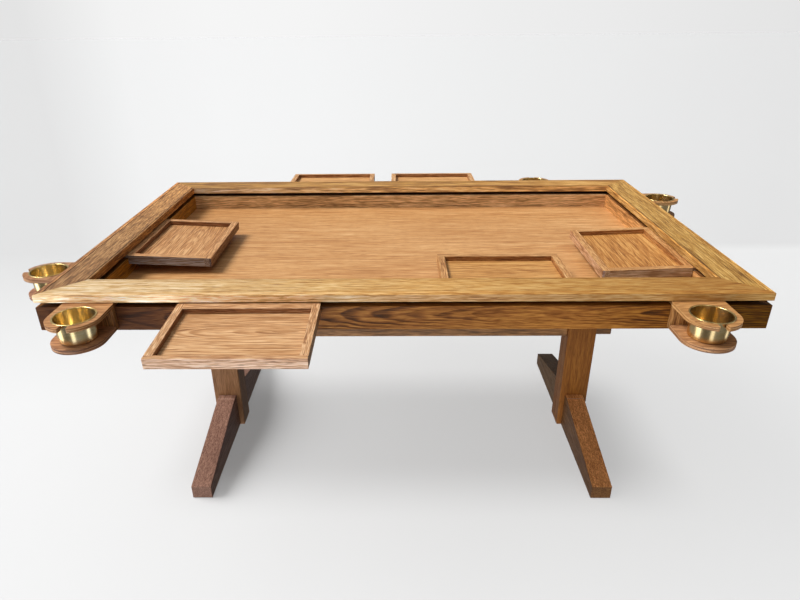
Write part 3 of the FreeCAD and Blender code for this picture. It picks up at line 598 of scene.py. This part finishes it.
# a pale floor that is a little brighter on the left, and a backdrop that is brightest in the middle
near_level = fl.span(fl.xyz[X], -1.6, 1.3, 0.905, 0.805)
far_level = fl.span(fl.xyz[X], -2.2, 1.8, 0.745, 0.825)
level = fl.mixf(fl.span(fl.xyz[Y], 0.1, 1.75, smooth=False), near_level, far_level)
reach = fl.math("SQRT", fl.math("ADD", fl.math("MULTIPLY", fl.xyz[X], fl.xyz[X]), fl.math("MULTIPLY", fl.xyz[Y], fl.xyz[Y])))
ahead = fl.math("MAXIMUM", fl.math("ABSOLUTE", fl.math("SUBTRACT", fl.xyz[Y], CAM_Y)), fl.math("MULTIPLY", reach, 0.5))
aside = fl.math("DIVIDE", fl.xyz[X], ahead)
backdrop = fl.ramp(fl.span(aside, -0.60, 0.66, smooth=False), [((q + 0.60) / 1.26, (v, v, v, 1)) for q, v in BACKDROP])
backdrop = fl.math("MULTIPLY", backdrop, fl.span(reach, 1.7, 6.0, 0.955, 0.968))
level = fl.mixf(fl.math("MAXIMUM", fl.span(fl.xyz[Y], 1.72, 1.92), fl.span(reach, 2.2, 7.0)), level, backdrop)
glow = fl.add("ShaderNodeEmission")
fl.put(glow.inputs[1], fl.math("SUBTRACT", level, FLOOR_LIGHT))
glow.inputs[0].default_value = (0.985, 1.0, 1.015, 1)
matt = fl.add("ShaderNodeBsdfDiffuse")
matt.inputs[0].default_value = (0.30, 0.30, 0.30, 1)
both = fl.add("ShaderNodeAddShader")
fl.tree.links.new(glow.outputs[0], both.inputs[0])
fl.tree.links.new(matt.outputs[0], both.inputs[1])
fl.tree.links.new(both.outputs[0], fl.out.inputs[0])
ground.data.materials.append(fl.mat)


def studio_world():
    """Soft light that is strongest from the upper left; polished pieces see softboxes and dark flags around them."""
    world = bpy.data.worlds.new("studio")
    scene.world = world
    world.use_nodes = True
    tree = world.node_tree
    tree.nodes.clear()
    new, link = tree.nodes.new, tree.links.new

    def math_node(op, x, y=None, clamp=False):
        n = new("ShaderNodeMath")
        n.operation, n.use_clamp = op, clamp
        for i, v in enumerate((x, y)):
            if isinstance(v, bpy.types.NodeSocket):
                link(v, n.inputs[i])
            elif v is not None:
                n.inputs[i].default_value = v
        return n.outputs[0]

    def span(x, lo, hi, to_lo, to_hi):
        n = new("ShaderNodeMapRange")
        n.interpolation_type = "SMOOTHSTEP"
        link(x, n.inputs[0])
        for i, v in ((1, lo), (2, hi), (3, to_lo), (4, to_hi)):
            n.inputs[i].default_value = v
        return n.outputs[0]

    def light(colour, strength):
        n = new("ShaderNodeBackground")
        n.inputs[0].default_value = colour
        if isinstance(strength, bpy.types.NodeSocket):
            link(strength, n.inputs[1])
        else:
            n.inputs[1].default_value = strength
        return n.outputs[0]

    direction = new("ShaderNodeTexCoord").outputs["Generated"]
    sep = new("ShaderNodeSeparateXYZ")
    link(direction, sep.inputs[0])
    dx, dy = sep.outputs[0], sep.outputs[1]
    dot = new("ShaderNodeVectorMath")
    dot.operation = "DOT_PRODUCT"
    dot.inputs[1].default_value = (-0.60, -0.22, 0.76)
    link(direction, dot.inputs[0])
    soft = light((0.98, 0.99, 1.0, 1), span(dot.outputs["Value"], -0.30, 0.95, WORLD_LOW, WORLD_HIGH))
    # around the horizon: a softbox at the front left, a dark flag beside it, dark on the right
    turn = math_node("MULTIPLY_ADD", math_node("ARCTAN2", dx, math_node("MULTIPLY", dy, -1.0)), 0.5 / math.pi)
    turn.node.inputs[2].default_value = 0.5
    ramp = new("ShaderNodeValToRGB")
    link(turn, ramp.inputs[0])
    e = ramp.color_ramp.elements
    stops = ((-180, 0.14), (-130, 0.16), (-102, 0.16), (-94, 0.90), (-72, 1.0), (-64, 0.10), (-40, 0.05), (-15, 0.07),
             (-8, 0.62), (4, 0.62), (11, 0.11), (45, 0.09), (78, 0.06), (85, 0.62), (95, 0.62), (102, 0.05),
             (150, 0.08), (180, 0.14))
    while len(e) < len(stops):
        e.new(0.5)
    for el, (deg, v) in zip(e, stops):
        el.position, el.color = (deg + 180.0) / 360.0, (v, v, v, 1.0)
    polished = light((1.0, 0.99, 0.97, 1), math_node("MULTIPLY", ramp.outputs[0], BOX))
    aside = new("ShaderNodeMapRange")
    link(math_node("DIVIDE", dx, math_node("MAXIMUM", math_node("ABSOLUTE", dy), 0.5)), aside.inputs[0])
    for i, v in ((1, -0.60), (2, 0.66), (3, 0.0), (4, 1.0)):
        aside.inputs[i].default_value = v
    wide = new("ShaderNodeValToRGB")
    link(aside.outputs[0], wide.inputs[0])
    e = wide.color_ramp.elements
    while len(e) < len(BACKDROP):
        e.new(0.5)
    for el, (q, v) in zip(e, BACKDROP):
        el.position, el.color = (q + 0.60) / 1.26, (v, v, v, 1.0)
    seen = light((1, 1, 1, 1), wide.outputs[0])
    path = new("ShaderNodeLightPath")
    one, two = new("ShaderNodeMixShader"), new("ShaderNodeMixShader")
    link(path.outputs["Is Glossy Ray"], one.inputs[0])
    link(soft, one.inputs[1])
    link(polished, one.inputs[2])
    link(path.outputs["Is Camera Ray"], two.inputs[0])
    link(one.outputs[0], two.inputs[1])
    link(seen, two.inputs[2])
    out = new("ShaderNodeOutputWorld")
    link(two.outputs[0], out.inputs[0])


studio_world()


def group(name, members):
    c = bpy.data.collections.new(name)
    for o in members:
        c.objects.link(o)
    return c


TABLE = group("lit_table", nodes.values())
WOODS = group("lit_woods", [o for n, o in nodes.items() if not n.startswith("cup_")])
FLOOR_ONLY = group("lit_floor", [ground])
TRESTLE = ("post_left", "post_right", "foot_left", "foot_right", "stretcher")
bpy.ops.mesh.primitive_plane_add(size=1.0, location=(0.04, -0.05, 0.655))
flag = bpy.context.object
flag.name = "studio_flag"
flag.scale = (1.56, 0.62, 1.0)
flag.visible_camera = flag.visible_diffuse = flag.visible_glossy = flag.visible_transmission = False
TOP_SHADE = group("shade_top", [flag] + [nodes[n] for n in TRESTLE])
TRESTLE_LIT = group("lit_trestle", [nodes[n] for n in TRESTLE])
FOOT_L_SHADE = group("shade_left", [nodes["foot_left"]])
FOOT_R_SHADE = group("shade_right", [nodes["foot_right"]])


def sun(name, towards, strength, angle, colour=(1, 1, 1), lit=None, shade=None):
    """A soft distant light; towards points from the table to the light."""
    data = bpy.data.lights.new(name, "SUN")
    data.energy, data.angle, data.color = strength, math.radians(angle), colour
    o = bpy.data.objects.new(name, data)
    scene.collection.objects.link(o)
    o.rotation_mode = "QUATERNION"
    o.rotation_quaternion = Vector(towards).to_track_quat("Z", "Y")
    if lit is not None:
        o.light_linking.receiver_collection = lit
    if shade is not None:
        o.light_linking.blocker_collection = shade
    return o


sun("key", (-0.60, 0.06, 0.80), 3.4, 24.0, (1.0, 0.985, 0.96), lit=TABLE)
sun("floor_bounce", (-0.30, -0.86, -0.36), 1.65, 60.0, (0.99, 1.0, 1.0), lit=WOODS)
sun("front_low", (-0.15, -0.80, 0.58), 0.62, 50.0, (1.0, 0.99, 0.97), lit=TRESTLE_LIT)
sun("floor_overhead", (-0.04, 0.04, 1.0), 1.8, 22.0, lit=FLOOR_ONLY, shade=TOP_SHADE)
sun("floor_left", (-0.82, 0.05, 0.57), 7.2, 46.0, lit=FLOOR_ONLY, shade=FOOT_L_SHADE)
sun("floor_right", (-0.78, 0.05, 0.62), 1.6, 50.0, lit=FLOOR_ONLY, shade=FOOT_R_SHADE)

F, U0, V0 = 610.098, 388.740, 307.349
cam_data = bpy.data.cameras.new("photo_view")
cam_data.sensor_fit = "HORIZONTAL"
cam_data.sensor_width = 36.0
cam_data.lens = F * 36.0 / 800.0
cam_data.shift_x = (400.0 - U0) / 800.0
cam_data.shift_y = (V0 - 300.0) / 800.0
cam_data.clip_start, cam_data.clip_end = 0.05, 200.0
cam = bpy.data.objects.new("photo_view", cam_data)
scene.collection.objects.link(cam)
scene.camera = cam
pitch, yaw, roll = math.radians(25.86884), math.radians(-0.933867), math.radians(0.587457)
fwd = Vector((math.sin(yaw) * math.cos(pitch), math.cos(yaw) * math.cos(pitch), -math.sin(pitch)))
right = Vector((math.cos(yaw), -math.sin(yaw), 0.0))
down = fwd.cross(right)
r2 = right * math.cos(roll) + down * math.sin(roll)
d2 = -right * math.sin(roll) + down * math.cos(roll)
cam.matrix_world = Matrix(((r2.x, -d2.x, -fwd.x, -0.00738), (r2.y, -d2.y, -fwd.y, -1.88216),
                           (r2.z, -d2.z, -fwd.z, 1.37365), (0, 0, 0, 1)))

scene.view_settings.view_transform = "Standard"
scene.view_settings.look = "None"
scene.view_settings.exposure = 0.0
scene.view_settings.gamma = 1.0
